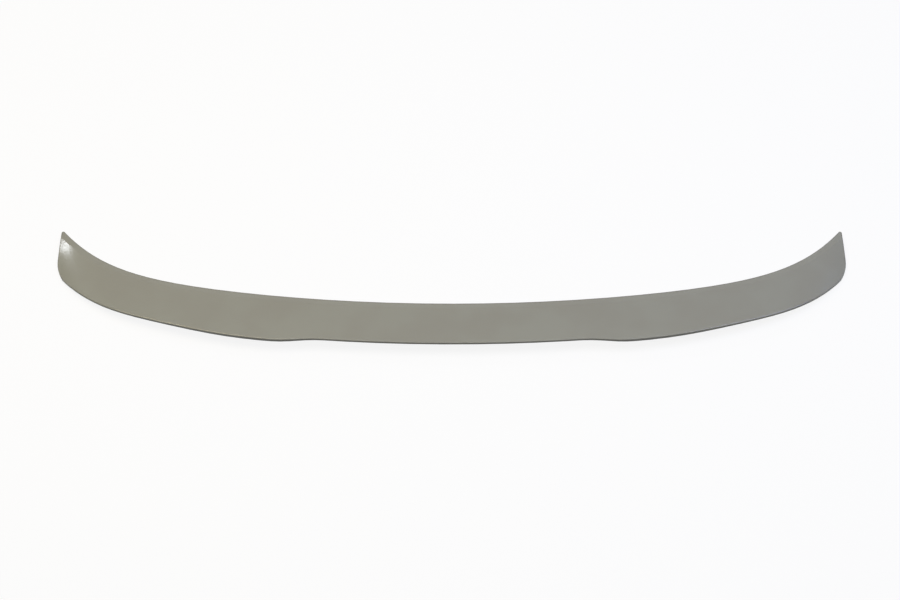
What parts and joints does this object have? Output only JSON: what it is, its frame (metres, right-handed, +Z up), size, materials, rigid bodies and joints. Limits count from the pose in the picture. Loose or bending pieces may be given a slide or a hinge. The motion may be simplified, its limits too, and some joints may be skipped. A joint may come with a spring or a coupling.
{
  "type": "boot lid lip spoiler",
  "caption": "Low crescent-shaped lip spoiler for a car's boot lid: swept wings with forward-hooked tips, an overhanging rear edge with a shallow middle recess and a hollow ribbed underside.",
  "frame": {"origin": "middle of the flat rear foot, on the boot lid's surface and on the car's middle line", "axes": "+X across the car along the spoiler's length, +Y towards the front of the car, +Z up from the boot lid"},
  "size_m": [1.2, 0.2196, 0.0245],
  "materials": {
    "grey_primer": "satin"
  },
  "bodies": {
    "root": {"lip_spoiler": "grey_primer"}
  },
  "joints": []
}
